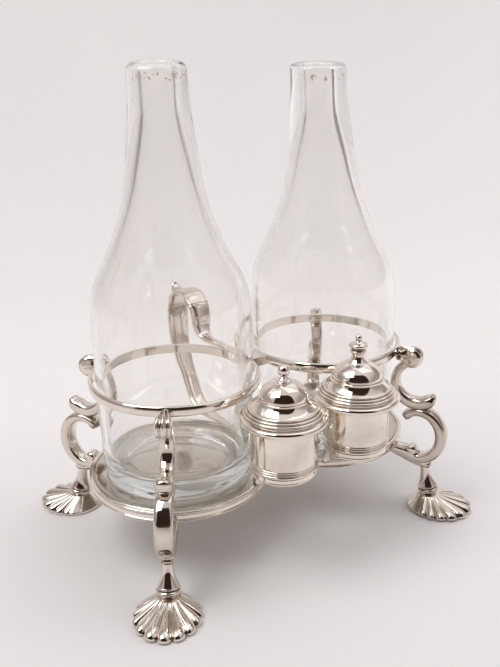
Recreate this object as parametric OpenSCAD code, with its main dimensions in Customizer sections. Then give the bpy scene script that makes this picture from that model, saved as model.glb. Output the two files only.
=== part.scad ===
// Two-bottle oil and vinegar cruet stand in silver, with two blown glass bottles and
// two lift-off silver caps kept in holders at the front. Millimetres, +Z up, origin on
// the table under the middle of the whole set. The bottles stand along X, the cap
// holders are at the front (-Y) and the carrying handle is at the back (+Y).

/* [Bottles] */
// Height of each glass bottle
bottle_h = 170; // [166:1:176]
// Largest radius of a bottle body
bottle_r = 33.9; // [32:0.1:34.2]
// Outer radius of the neck under the lip
neck_r = 12.0; // [11.6:0.1:12.1]
// Radius of the bore through the neck
bore_r = 5.6; // [5:0.1:6.5]
// Distance between the axes of the two bottles
bottle_pitch = 80; // [80:0.5:84]

/* [Tray] */
// Radius of each round lobe of the tray
tray_r = 39.4; // [38:0.1:40]
// Height of the underside of the tray above the table
tray_z = 29.5; // [28:0.5:31]
// Depth of the moulded border round the tray
tray_h = 4.5; // [4:0.1:5.5]
// Radius of the hollow corner between the two lobes
waist_r = 8; // [6:0.5:10]

/* [Bottle rings] */
// Outer radius of each bottle ring
ring_r = 37.3; // [36.8:0.1:37.6]
// Thickness of the ring band
ring_t = 2.0; // [1.6:0.1:2.2]
// Height of the ring band
ring_h = 4.5; // [3.5:0.1:5]
// Height of the middle of the ring band above the table
ring_z = 77.2; // [75:0.1:79]

/* [Legs] */
// Direction of each leg from its bottle's axis, measured from the X axis
leg_angle = 57; // [50:1:60]
// Distance of each foot's collar from its bottle's axis
foot_reach = 56; // [55:0.5:58]
// Half the length of a shell foot, along the leg
foot_half_l = 15.2; // [14:0.1:16]
// Half the width of a shell foot
foot_half_w = 13.9; // [12:0.1:15]
// Number of ribs on each shell
foot_ribs = 11; // [9:2:13]
// Width of the leg scrolls
scroll_w = 7; // [6:0.1:7.5]

/* [Caps] */
// Distance of each cap from the middle of the stand, along X
cap_x = 18.7; // [18.4:0.1:20]
// Distance of each cap in front of the bottles
cap_y = 51.8; // [51.7:0.1:54]
// Outer radius of a cap's flange
flange_r = 18.1; // [16:0.1:18.1]
// Outer radius of a cap holder
holder_r = 13.8; // [13.8:0.1:14.2]
// Height of the rim of a cap holder above the table
holder_top = 71.2; // [70:0.1:72]

/* [Handle] */
// How far the handle reaches behind the bottles' axes
handle_reach = 71.5; // [68:0.5:76]
// Height of the top of the handle
handle_top = 95; // [92:0.5:100]
// Width of the handle strap
strap_w = 13.6; // [11:0.1:15]

/* [Hidden] */
SIDES = ["left", "right"];
CORNERS = ["front_left", "front_right", "back_left", "back_right"];
LEG_PARTS = ["leaf_cap", "upper_scroll", "lower_scroll", "tray_bracket", "pillar", "shell_foot"];
SIDE_PARTS = ["bottle_ring", "cap_holder", "holder_bracket", "bottle", "cap_dome", "cap_sleeve", "finial"];
FRAME_PARTS = ["tray_plate", "tray_border", "ring_bridge", "handle_strap", "handle_scroll", "thumb_piece"];

// Smoothness of round surfaces
$fn = 96;
// Clearance between pieces that only rest on each other
rest_gap = 0.05;
// How far the thumb piece stands behind the back of the handle strap
thumb_past = 3.39;
// The bottles' axes stand this far from the origin along Y, which centres the whole set
row_y = (cap_y + flange_r - handle_reach - thumb_past) / 2;
bottle_x = bottle_pitch / 2;
plate_t = 1.2;
plate_top = tray_z + tray_h;
bottle_z = plate_top + rest_gap;
sleeve_t = 0.5;
sleeve_fit = 0.07;
holder_t = 0.75;
holder_bore = holder_r - holder_t;
sleeve_r = holder_bore - sleeve_fit;
cap_z = holder_top + rest_gap;
silver = "silver";
glass = [0.85, 0.9, 0.92, 0.4];

// ---- Curves ----

// Points of a circular arc in a plane, from angle a to angle b
function arc(centre, r, a, b, steps) =
  [for (i = [0:steps]) let (t = a + (b - a) * i / steps) centre + r * [cos(t), sin(t)]];

// One stretch of a Catmull-Rom curve between p1 and p2
function spline_point(p0, p1, p2, p3, t) =
  0.5 * (2 * p1 + (p2 - p0) * t + (2 * p0 - 5 * p1 + 4 * p2 - p3) * t * t
    + (3 * p1 - p0 - 3 * p2 + p3) * t * t * t);

// A smooth curve through every control point, whatever the number of columns
function spline(pts, steps) =
  let (last = len(pts) - 1)
  [for (i = [0:last - 1]) for (k = [0:steps - 1])
      spline_point(pts[max(i - 1, 0)], pts[i], pts[i + 1], pts[min(i + 2, last)], k / steps),
    pts[last]];

// Flattened octagon used as the cross-section of a cast bar
function bar_section(thick, wide) =
  let (c = 0.3 * min(thick, wide), x = thick / 2, y = wide / 2)
  [[x, y - c], [x - c, y], [c - x, y], [-x, y - c], [-x, c - y], [c - x, -y], [x - c, -y], [x, c - y]];

// Bar swept along a curve in the XZ plane. Each row of stations is [x, z, thickness, width].
module swept_bar(stations) {
  sides = 8;
  last = len(stations) - 1;
  rings = [for (i = [0:last])
    let (a = stations[max(i - 1, 0)],
      b = stations[min(i + 1, last)],
      run = [b[0] - a[0], b[1] - a[1]] / norm([b[0] - a[0], b[1] - a[1]]))
    for (p = bar_section(stations[i][2], stations[i][3]))
      [stations[i][0] - run[1] * p[0], p[1], stations[i][1] + run[0] * p[0]]];
  walls = [for (i = [0:last - 1]) for (k = [0:sides - 1])
    let (a = i * sides + k, b = i * sides + (k + 1) % sides)
    each [[a, b, a + sides], [b, b + sides, a + sides]]];
  ends = [[for (k = [0:sides - 1]) sides - 1 - k], [for (k = [0:sides - 1]) last * sides + k]];
  polyhedron(points = rings, faces = concat(walls, ends));
}

// ---- Placing ----

module at_bottle(i) {
  translate([i == 0 ? -bottle_x : bottle_x, row_y, 0]) children();
}

module at_cap(i) {
  translate([i == 0 ? -cap_x : cap_x, row_y - cap_y, 0]) children();
}

// Local X points from the bottle's axis out along the leg
module at_corner(i) {
  right = i % 2;
  back = floor(i / 2);
  across = right == 1 ? 1 : -1;
  along = back == 1 ? 1 : -1;
  at_bottle(right) rotate([0, 0, atan2(along * sin(leg_angle), across * cos(leg_angle))]) children();
}

// Local X points to the back of the stand, along its middle
module at_handle() {
  translate([0, row_y, 0]) rotate([0, 0, 90]) children();
}

// ---- Tray ----

// Two round lobes joined by a waist with hollow corners; grow moves the edge outwards
module tray_outline(grow) {
  lobe_steps = 72;
  waist_steps = 12;
  corner_y = sqrt(pow(tray_r + waist_r, 2) - pow(bottle_x, 2));
  slope = atan2(corner_y, bottle_x);
  half_turn = [for (side = [0, 180]) each concat(
    arc([side == 0 ? bottle_x : -bottle_x, 0], tray_r + grow, side - 180 + slope, side + 180 - slope, lobe_steps),
    [for (k = [1:waist_steps - 1]) let (a = side - slope - (180 - 2 * slope) * k / waist_steps)
      [0, side == 0 ? corner_y : -corner_y] + (waist_r - grow) * [cos(a), sin(a)]])];
  polygon(half_turn);
}

module tray_plate() {
  inset = 1.2;
  color(silver) translate([0, row_y, plate_top - plate_t]) linear_extrude(plate_t) tray_outline(-inset);
}

// Stepped border: a plain apron with a proud bead along its top and a fine lip below
module tray_border() {
  bead_h = 1.1;
  lip_h = 0.8;
  color(silver) translate([0, row_y, tray_z]) difference() {
    union() {
      linear_extrude(tray_h) tray_outline(0);
      translate([0, 0, tray_h - bead_h]) linear_extrude(bead_h) tray_outline(0.5);
      linear_extrude(lip_h) tray_outline(0.4);
    }
    translate([0, 0, -1]) linear_extrude(tray_h + 2) tray_outline(-1.2);
  }
}

// ---- Bottle rings ----

module bottle_ring(i) {
  nose = ring_t * 0.45;
  half = ring_h / 2;
  inner = ring_r - ring_t;
  flat = ring_r - nose;
  color(silver) at_bottle(i) translate([0, 0, ring_z]) rotate_extrude()
    polygon(concat(
      [[inner, -half + 0.4], [inner + 0.4, -half]],
      arc([flat, -half + nose], nose, -90, 0, 5),
      arc([flat, half - nose], nose, 0, 90, 5),
      [[inner + 0.4, half], [inner, half - 0.4]]));
}

// Saddle that fills the gap where the two rings pass each other
module ring_bridge() {
  bite = 0.5;
  length = 13;
  color(silver) translate([0, row_y, ring_z - 2]) difference() {
    translate([-5, -length / 2, 0]) cube([10, length, 4]);
    for (s = [-1, 1]) translate([s * bottle_x, 0, -1]) cylinder(r = ring_r - bite, h = 6);
  }
}

// ---- Handle ----

// Outer strap: over the arch, down the back and in under the rings to the tray
module handle_strap() {
  reach = handle_reach;
  top = handle_top;
  low_w = 0.68 * strap_w;
  line = [
    [reach - 25, top - 4, 2.6, strap_w - 1],
    [reach - 18, top - 0.8, 2.4, strap_w - 0.6],
    [reach - 10.5, top - 1, 2.3, strap_w],
    [reach - 3.6, top - 5.5, 2.3, strap_w],
    [reach, top - 13.5, 2.3, strap_w],
    [reach + 0.3, top - 23, 2.4, strap_w - 0.6],
    [reach - 1.4, top - 32, 2.6, strap_w - 2],
    [reach - 5.6, top - 40, 2.8, low_w + 1],
    [reach - 10.6, top - 46.5, 2.8, low_w],
    [reach - 15, top - 52.5, 2.8, low_w],
    [reach - 19.6, top - 57.6, 2.8, low_w],
    [reach - 26, top - 61.2, 2.8, low_w],
    [reach - 34, top - 62.8, 2.8, low_w],
    [16, tray_z + 2.3, 3, low_w]];
  color(silver) at_handle() swept_bar(spline(line, 3));
}

// Inner scroll: curls down from the arch and runs forward to the ring bridge
module handle_scroll() {
  reach = handle_reach;
  top = handle_top;
  line = [
    [reach - 22, top - 2.4, 2.6, strap_w - 1.2],
    [reach - 25.6, top - 5.6, 3, strap_w - 1],
    [reach - 27.4, top - 10.5, 3.4, strap_w - 1.2],
    [reach - 27.8, top - 15, 3, strap_w - 2.4],
    [reach - 30.5, top - 18.6, 2.8, 8.4],
    [reach - 36, top - 19.6, 2.6, 6.4],
    [reach - 46, top - 19, 2.6, 5.4],
    [reach - 58, ring_z - 0.2, 2.6, 5.4],
    [4.5, ring_z, 3, 6.4]];
  color(silver) at_handle() swept_bar(spline(line, 3));
}

// Small leaf for the thumb, on the outer shoulder of the handle
module thumb_piece() {
  reach = handle_reach;
  top = handle_top;
  line = [
    [reach - 9.5, top - 2.2, 2, 8],
    [reach - 4.8, top - 3.2, 2.2, 9.6],
    [reach - 0.6, top - 2.9, 2, 8],
    [reach + 2.2, top - 0.8, 1.5, 5],
    [reach + 2.9, top + 1.2, 1, 2.2]];
  color(silver) at_handle() swept_bar(spline(line, 2));
}

// ---- Legs ----
// Leg shapes are drawn in the upright plane of the leg: X runs out from the bottle's
// axis and Z is the height above the table.

scroll_x = 47.6;
scroll_z = ring_z - 14;
scroll_r = 10.5;
lower_x = 50;
lower_z = 36.8;
pillar_top = [52.9, 22.6];
collar_z = 7;

// Knuckle that grips the ring and rolls outwards, widening like a leaf from a point
module leaf_cap(i) {
  root = ring_r - 1;
  top = ring_z + ring_h / 2 + 0.2;
  roll_r = 4.3;
  roll = [44.4, top - roll_r];
  half_w = 3.9;
  tip_w = 0.9;
  color(silver) at_corner(i) intersection() {
    rotate([90, 0, 0]) linear_extrude(2 * half_w + 2, center = true) polygon(concat(
      [[root, top - 0.2]],
      arc(roll, roll_r, 90, -115, 18),
      [[roll[0] - 4.6, roll[1] - 2.6], [root, roll[1] - 1.6]]));
    translate([0, 0, roll[1] - 10]) linear_extrude(20) polygon([
      [root - 1, -tip_w], [roll[0], -half_w], [roll[0] + 6, -half_w],
      [roll[0] + 6, half_w], [roll[0], half_w], [root - 1, tip_w]]);
  }
}

// Upper C-scroll, open to the outside
module upper_scroll(i) {
  first = 96;
  sweep = 212;
  rings = 26;
  color(silver) at_corner(i) swept_bar([for (k = [0:rings])
    let (t = k / rings, a = first + sweep * t)
    [scroll_x + scroll_r * cos(a), scroll_z + scroll_r * sin(a),
      3.7 + 3.3 * pow(t, 1.8) - 3.4 * pow(t, 14), scroll_w - 0.8 + 1.2 * pow(t, 3)]]);
}

// Lower C-scroll, open to the inside, its foot rolled into a round knob on the arm
module lower_scroll(i) {
  span = 214;
  rings = 26;
  half_x = 10.2;
  half_z = 12;
  knob = [45.8, 28.2];
  color(silver) at_corner(i) {
    swept_bar(concat(
      [[44, lower_z + 9.6, 3.8, scroll_w - 0.6]],
      [for (k = [0:rings])
        let (t = k / rings, a = 114 - span * t)
        [lower_x + half_x * cos(a), lower_z + half_z * sin(a),
          3.6 + 1.6 * sin(150 * t), scroll_w + 0.9 * sin(180 * t)]],
      [[46.6, 25.6, 3.6, scroll_w]]));
    translate([knob[0], 0, knob[1]]) rotate([90, 0, 0]) cylinder(r = 3, h = scroll_w + 0.4, center = true);
  }
}

// Arm from the head of the pillar up to the underside of the tray
module tray_bracket(i) {
  line = [
    [pillar_top[0] + 1.4, pillar_top[1] - 0.6, 3.6, scroll_w - 1.4],
    [50.6, 23.4, 5.2, scroll_w - 0.8],
    [47.4, 25.1, 6.5, scroll_w - 0.4],
    [44, 26.4, 6.2, scroll_w - 0.2],
    [40.8, 27.2, 5.4, scroll_w - 0.2],
    [38.2, 28.2, 4.7, scroll_w - 0.2],
    [35.4, 29.2, 3.2, scroll_w - 0.4]];
  color(silver) at_corner(i) swept_bar(spline(line, 2));
}

// Turned pillar that leans outwards to the foot's collar
module pillar(i) {
  foot_point = [foot_reach, collar_z];
  run = foot_point - pillar_top;
  length = norm(run);
  lean = atan2(run[0], -run[1]);
  color(silver) at_corner(i) translate([pillar_top[0], 0, pillar_top[1]]) rotate([0, -lean, 0]) mirror([0, 0, 1])
    rotate_extrude(convexity = 4) polygon(concat(
      [[0, -1.6], [2.4, -1.6], [2.9, -0.9], [2.9, 0.2], [2.2, 0.9]],
      [for (k = [0:8]) let (t = k / 8) [2.15 + 2.1 * t * t * t + 0.15 * t, 1.2 + (length - 5.6) * t]],
      [[4.5, length - 3.9], [4.0, length - 3.4]],
      arc([3.9, length - 1.9], 1.3, -75, 75, 6),
      [[4.2, length + 0.2], [0, length + 0.2]]));
}

// Scallop shell: ribs fan outwards from the collar and the heel is smooth
module shell_foot(i) {
  set_out = 5.8;
  pitch = 18;
  per_rib = 4;
  heel_steps = 14;
  fan = foot_ribs * pitch;
  collar_r = 4.6;
  edge_z = 2.0;
  // Each ring is [share of the way to the edge, height on a rib, depth of a groove]
  rings = [
    [0, collar_z, 0], [0.3, 5.35, 0.8], [0.58, 4.5, 1.2], [0.82, 3.75, 1.4], [0.95, 2.8, 1.4], [1, edge_z, 1.1]];
  angles = concat(
    [for (k = [0:foot_ribs * per_rib]) -fan / 2 + k * pitch / per_rib],
    [for (k = [1:heel_steps - 1]) fan / 2 + k * (360 - fan) / heel_steps]);
  count = len(angles);
  // The heel falls straighter than the fan does
  function height(a, ring) =
    let (ahead = max(0, (cos(a) + 0.35) / 1.35), heel = min(ring[1], collar_z - 0.2 - 5.4 * ring[0]))
    ring[1] * ahead + heel * (1 - ahead);
  function rib(a) = a > fan / 2 ? 1 : abs(cos(180 * a / pitch));
  function edge(a) =
    let (p = pow(cos(a) / foot_half_l, 2) + pow(sin(a) / foot_half_w, 2), q = set_out * cos(a) / pow(foot_half_l, 2))
    (q + sqrt(q * q - p * (pow(set_out / foot_half_l, 2) - 1))) / p;
  function reach(a, share) = collar_r + (edge(a) * (1 - 0.06 * (1 - rib(a)) * share) - collar_r) * share;
  skin = [for (ring = rings) for (a = angles)
    let (r = reach(a, ring[0]))
    [r * cos(a), r * sin(a), height(a, ring) - ring[2] * (1 - rib(a))]];
  sole = [for (a = angles) let (r = reach(a, 1) - 0.3) [r * cos(a), r * sin(a), 0]];
  layers = len(rings);
  walls = [for (j = [0:layers - 1]) for (k = [0:count - 1])
    let (a = j * count + k, b = j * count + (k + 1) % count)
    each [[a, a + count, b], [b, a + count, b + count]]];
  top_hub = (layers + 1) * count;
  lids = [for (k = [0:count - 1]) let (n = (k + 1) % count)
    each [[top_hub, k, n], [top_hub + 1, layers * count + n, layers * count + k]]];
  color(silver) at_corner(i) translate([foot_reach, 0, 0])
    polyhedron(points = concat(skin, sole, [[0, 0, collar_z], [0, 0, 0]]), faces = concat(walls, lids));
}

// ---- Cap holders ----

module cap_holder(i) {
  base = holder_top - 22.3;
  color(silver) at_cap(i) rotate_extrude() polygon(concat(
    [[holder_bore, base], [holder_r - 0.5, base], [holder_r - 0.2, base + 0.4], [holder_r - 0.2, base + 1.6],
      [holder_r - 0.5, base + 2.2], [holder_r - 0.5, base + 2.8]],
    arc([holder_r - 0.3, base + 3.7], 0.7, -80, 80, 5),
    arc([holder_r - 0.2, base + 4.9], 0.45, -80, 80, 4),
    arc([holder_r - 0.2, base + 5.9], 0.45, -80, 80, 4),
    [[holder_r, base + 6.7], [holder_r, holder_top], [holder_bore, holder_top]]));
}

// Bracket that stands on the tray's border and leans forward to the back of the holder
module holder_bracket(i) {
  side = i == 0 ? -1 : 1;
  foot_y = 32.8;
  depth = 2.6;
  back = cap_y - holder_r - foot_y - depth / 2 + 0.2;
  line = [
    [-0.1, plate_top - 0.8, depth - 0.2, 5],
    [0.1, plate_top + 2.5, depth, 4.4],
    [back * 0.45, plate_top + 8, depth, 4],
    [back * 0.92, holder_top - 23, depth, 4],
    [back, holder_top - 17, depth, 4],
    [back, holder_top - 10, depth - 0.4, 4.4],
    [back - 0.6, holder_top - 7, depth - 1, 5]];
  color(silver) translate([side * cap_x, row_y - foot_y, 0]) rotate([0, 0, -90]) swept_bar(spline(line, 2));
}

// ---- Caps ----

// Domed top with a stepped edge and a broad half-round flange, hollow inside
module cap_dome(i) {
  step = i == 0 ? 0.3 : 0.6;
  dome_r = i == 0 ? 9.9 : 10.4;
  dome_z = 10;
  dome_h = 7.2;
  shell_t = 0.9;
  color(silver) at_cap(i) translate([0, 0, cap_z]) rotate_extrude() polygon(concat(
    [[sleeve_r - 0.05, 0], [flange_r - 1.5, 0]],
    arc([flange_r - 1.45, 1.45], 1.45, -85, 70, 10),
    [[flange_r - 1.9, 3.0], [flange_r - 2.3, 3.4]],
    arc([flange_r - 2.5, 4.1], 0.5, -70, 80, 4),
    arc([flange_r - 3.3, 5.1], 0.5, -60, 80, 4),
    arc([flange_r - 4.2, 6.0], 0.5, -60, 90, 4),
    [for (k = [0:6]) let (t = k / 6)
      [dome_r + step + (flange_r - 4.9 - dome_r - step) * pow(1 - t, 1.6), 6.6 + (dome_z - 6.6) * t]],
    [for (k = [0:14]) let (a = 4 + 82 * k / 14) [dome_r * cos(a), dome_z + 0.3 + dome_h * sin(a)]],
    [[0, dome_z + 0.3 + dome_h]],
    [for (k = [0:10]) let (a = 90 - 90 * k / 10)
      [(dome_r - shell_t) * cos(a), dome_z + (dome_h - shell_t) * sin(a)]],
    [for (k = [1:4]) let (t = k / 4)
      [dome_r - shell_t + (sleeve_r - 0.05 - dome_r + shell_t) * pow(t, 1.6), dome_z - (dome_z - 6) * t]]));
}

// Sleeve that slips over the bottle's neck, or inside the holder
module cap_sleeve(i) {
  length = 14;
  inside = 5;
  color(silver) at_cap(i) translate([0, 0, cap_z - length]) difference() {
    cylinder(r = sleeve_r, h = length + inside);
    translate([0, 0, -1]) cylinder(r = sleeve_r - sleeve_t, h = length + inside + 2);
  }
}

// A plain ball on the left cap and a taller turned baluster on the right one
module finial(i) {
  base = cap_z + 17;
  ball = concat(
    [[0, -0.6], [2.6, -0.6], [3.1, 0], [3.1, 0.5], [2.3, 0.9], [1.9, 1.3], [1.2, 1.9], [1.2, 2.4]],
    arc([0, 4.5], 2.5, -58, 90, 14));
  baluster = concat(
    [[0, -0.9], [4.4, -0.9], [4.5, -0.2], [3.6, 0.5], [2.9, 1.5], [2.6, 2.8], [2.9, 3.9], [3.3, 4.5]],
    arc([2.9, 5.1], 0.5, -60, 60, 4),
    [[2.3, 5.8], [2.6, 6.3]],
    arc([3.1, 7.3], 0.9, -70, 70, 6),
    [[2.2, 8.5], [1.2, 9.0], [1.1, 9.3]],
    arc([0, 10.3], 1.5, -40, 90, 8));
  color(silver) at_cap(i) translate([0, 0, base]) rotate_extrude() polygon(i == 0 ? ball : baluster);
}

// ---- Bottles ----

// Outer and inner walls are curves through [radius, height] points above the base.
// The right bottle's shoulder sits a little lower and its neck is a little wider.
module bottle(i) {
  drop = i == 0 ? 0 : 2.4;
  neck = neck_r + (i == 0 ? -0.2 : 0.3);
  top = bottle_h;
  lip = 1.7;
  heel = 3;
  heel_r = bottle_r - 1.6;
  outer = [
    [heel_r, heel], [bottle_r - 0.9, 13], [bottle_r - 0.3, 32], [bottle_r, 52], [bottle_r, 68 - drop],
    [bottle_r - 0.6, 79 - drop], [bottle_r - 3, 87 - drop], [bottle_r - 7.2, 95.5 - drop],
    [bottle_r - 11.3, 104.5 - drop], [bottle_r - 14.8, 114 - drop], [bottle_r - 17.4, 124 - drop],
    [bottle_r - 19.3, 136 - drop], [neck + 0.9, top - 21], [neck + 0.2, top - 11], [neck, top - lip]];
  inner = [
    [bore_r, top - 16], [bore_r + 0.7, top - 24], [bottle_r - 24.4, 136 - drop], [bottle_r - 21.6, 124 - drop],
    [bottle_r - 18.4, 114 - drop], [bottle_r - 14.6, 104.5 - drop], [bottle_r - 10.4, 95.5 - drop],
    [bottle_r - 6.1, 87 - drop], [bottle_r - 3.5, 79 - drop], [bottle_r - 2.8, 68 - drop], [bottle_r - 2.8, 52],
    [bottle_r - 3.1, 32], [bottle_r - 3.7, 14], [bottle_r - 5.6, 8.6], [bottle_r - 9.6, 7.5], [14, 8.3], [0, 8.6]];
  color(glass) at_bottle(i) translate([0, 0, bottle_z]) rotate_extrude(convexity = 6) polygon(concat(
    [[0, 2.7], [12, 2.2], [20, 1.1], [23.4, 0]],
    arc([heel_r - heel, heel], heel, -90, -15, 5),
    spline(outer, 4),
    arc([neck - lip, top - lip], lip, 10, 90, 6),
    arc([bore_r + 1.2, top - 1.2], 1.2, 90, 180, 5),
    spline(inner, 4)));
}

// ---- Assembly ----

tray_plate();
tray_border();
ring_bridge();
handle_strap();
handle_scroll();
thumb_piece();
for (i = [0:1]) {
  bottle_ring(i);
  cap_holder(i);
  holder_bracket(i);
  bottle(i);
  cap_dome(i);
  cap_sleeve(i);
  finial(i);
}
for (i = [0:3]) {
  leaf_cap(i);
  upper_scroll(i);
  lower_scroll(i);
  tray_bracket(i);
  pillar(i);
  shell_foot(i);
}
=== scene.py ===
"""Looks of a silver two-bottle cruet stand with two glass bottles and two lift-off caps."""

import math

import bpy
import numpy as np
from mathutils import Matrix, Vector, noise


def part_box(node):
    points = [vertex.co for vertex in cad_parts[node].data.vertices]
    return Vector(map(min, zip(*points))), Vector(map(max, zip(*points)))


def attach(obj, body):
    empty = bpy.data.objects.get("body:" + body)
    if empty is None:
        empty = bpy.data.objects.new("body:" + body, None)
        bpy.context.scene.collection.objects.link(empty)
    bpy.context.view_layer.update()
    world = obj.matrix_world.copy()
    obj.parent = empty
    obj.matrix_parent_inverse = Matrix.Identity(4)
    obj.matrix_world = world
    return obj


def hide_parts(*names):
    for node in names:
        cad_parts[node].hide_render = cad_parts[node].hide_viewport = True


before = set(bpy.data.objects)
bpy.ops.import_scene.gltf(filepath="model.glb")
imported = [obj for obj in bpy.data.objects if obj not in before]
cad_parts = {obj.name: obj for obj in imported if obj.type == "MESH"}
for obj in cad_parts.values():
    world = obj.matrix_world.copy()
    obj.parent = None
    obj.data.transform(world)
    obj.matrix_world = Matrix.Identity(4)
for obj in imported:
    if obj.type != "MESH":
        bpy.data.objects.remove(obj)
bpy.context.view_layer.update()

MM = 0.001
SIDES = ("left", "right")
SIGN = (-1, 1)
CORNERS = ("front_left", "front_right", "back_left", "back_right")


def middle(node):
    """Middle of a CAD node's box, in millimetres."""
    low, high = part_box(node)
    return (low + high) / 2 / MM


def floor_of(node):
    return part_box(node)[0].z / MM


def top_of(node):
    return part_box(node)[1].z / MM


# ---- Sizes, in millimetres, taken from the frame ----

ROW_Y = middle("bottle_left").y
BOTTLE_X = middle("bottle_right").x
BOTTLE_Z = floor_of("bottle_left")
BOTTLE_H = top_of("bottle_left") - BOTTLE_Z
CAP_X = middle("cap_dome_right").x
CAP_Y = middle("cap_dome_right").y
CAP_Z = floor_of("cap_dome_right")
HOLDER_TOP = top_of("cap_holder_left")
HOLDER_BASE = floor_of("cap_holder_left")
TRAY_Z = floor_of("tray_border")
TRAY_TOP = top_of("tray_border")
RING_Z = middle("bottle_ring_left").z
RING_H = top_of("bottle_ring_left") - floor_of("bottle_ring_left")
RING_R = (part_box("bottle_ring_left")[1].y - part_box("bottle_ring_left")[0].y) / 2 / MM
# The strap's middle line runs a little inside its box, at the back and at the top
HANDLE_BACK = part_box("handle_strap")[1].y / MM - ROW_Y - 1.4
HANDLE_TOP = top_of("handle_strap") - 0.3
HANDLE_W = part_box("handle_strap")[1].x / MM * 2


# ---- Sizes that no box gives, the same as in part.scad ----

BOTTLE_R = 33.9
TRAY_R = 39.4
WAIST_R = 8.0
HOLDER_R = 13.8
HOLDER_BORE = 13.05
SLEEVE_R = 12.98
LEG_ANGLE = math.radians(57)
FOOT_REACH = 56.0
SCROLL_X = 47.6
SCROLL_Z = RING_Z - 14.0
SCROLL_R = 10.5
LOWER_X = 50.0
LOWER_Z = 36.8
PILLAR_TOP = np.array([52.9, 22.6])
COLLAR_Z = 7.0


# ---- Curves ----

def spline(points, steps):
    """Catmull-Rom curve through rows of numbers, with `steps` stretches between two rows."""
    p = np.array(points, float)
    p = np.vstack([2 * p[0] - p[1], p, 2 * p[-1] - p[-2]])
    t = np.linspace(0, 1, steps, endpoint=False)[:, None]
    parts = []
    for i in range(1, len(p) - 2):
        a, b, c, d = p[i - 1:i + 3]
        parts.append(0.5 * (2 * b + (c - a) * t + (2 * a - 5 * b + 4 * c - d) * t ** 2
                            + (3 * b - a - 3 * c + d) * t ** 3))
    return np.vstack(parts + [p[-2:-1]])


def arc(centre, r, start, end, steps):
    """Points of an arc from angle start to angle end, in degrees."""
    a = np.radians(np.linspace(start, end, steps + 1))
    return np.stack([centre[0] + r * np.cos(a), centre[1] + r * np.sin(a)], 1)


def soften(points, r=0.18, closed=False):
    """Rounds the corners of a profile and adds a guard point beside each, so flats shade flat."""
    p = np.array(points, float)
    count = len(p)
    out = []
    for i in range(count):
        if not closed and i in (0, count - 1):
            out.append(p[i])
            continue
        before, here, after = p[i - 1], p[i], p[(i + 1) % count]
        la, lb = np.linalg.norm(before - here), np.linalg.norm(after - here)
        if la < 1e-9 or lb < 1e-9:
            continue
        ua, ub = (before - here) / la, (after - here) / lb
        cut = min(r, 0.4 * la, 0.4 * lb)
        if np.dot(ua, ub) < -0.985:
            out.append(here)
            continue
        if la > 3 * r:
            out.append(here + ua * cut * 1.6)
        for t in np.linspace(0, 1, 5):
            start, end = here + ua * cut, here + ub * cut
            out.append((1 - t) ** 2 * start + 2 * t * (1 - t) * here + t * t * end)
        if lb > 3 * r:
            out.append(here + ub * cut * 1.6)
    return np.array(out)


# ---- Meshes ----

def make_object(name, points, faces, material, place=None):
    """A smooth-shaded object from points in millimetres, moved by `place` first."""
    mesh = bpy.data.meshes.new(name)
    points = np.asarray(points, float)
    if place is not None:
        matrix = np.array(place)
        points = points @ matrix[:3, :3].T + matrix[:3, 3]
    mesh.from_pydata((points * MM).tolist(), [], faces)
    mesh.polygons.foreach_set("use_smooth", [True] * len(mesh.polygons))
    mesh.validate()
    mesh.update()
    obj = bpy.data.objects.new(name, mesh)
    bpy.context.scene.collection.objects.link(obj)
    mesh.materials.append(material)
    return obj


def skin(rows, closed_rows=False):
    """Points and faces of a tube through rows, each a closed ring of points. Open ends get a fan."""
    rows = np.asarray(rows, float)
    n, m = rows.shape[:2]
    points = rows.reshape(-1, 3).tolist()
    faces = []
    for j in range(n if closed_rows else n - 1):
        k = (j + 1) % n
        for i in range(m):
            i2 = (i + 1) % m
            faces.append((j * m + i, j * m + i2, k * m + i2, k * m + i))
    if not closed_rows:
        for j, flip in ((0, True), (n - 1, False)):
            hub = len(points)
            points.append(rows[j].mean(0).tolist())
            for i in range(m):
                a, b = j * m + i, j * m + (i + 1) % m
                faces.append((b, a, hub) if flip else (a, b, hub))
    return points, faces


def lathe(name, profile, material, place, segments=144, shape=None, closed=False):
    """Turns a profile of [radius, height] about Z. `shape` may bend the result.

    A closed profile makes a ring; an open one is closed by a fan at each end.
    """
    profile = np.asarray(profile, float)
    a = np.linspace(0, 2 * math.pi, segments, endpoint=False)
    ring = np.stack([np.cos(a), np.sin(a)], 1)
    rows = np.empty((len(profile), segments, 3))
    rows[:, :, :2] = profile[:, None, :1] * ring[None]
    rows[:, :, 2] = profile[:, 1:2]
    if shape is not None:
        rows = shape(rows, a)
    points, faces = skin(rows, closed)
    return make_object(name, points, faces, material, place)


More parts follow.
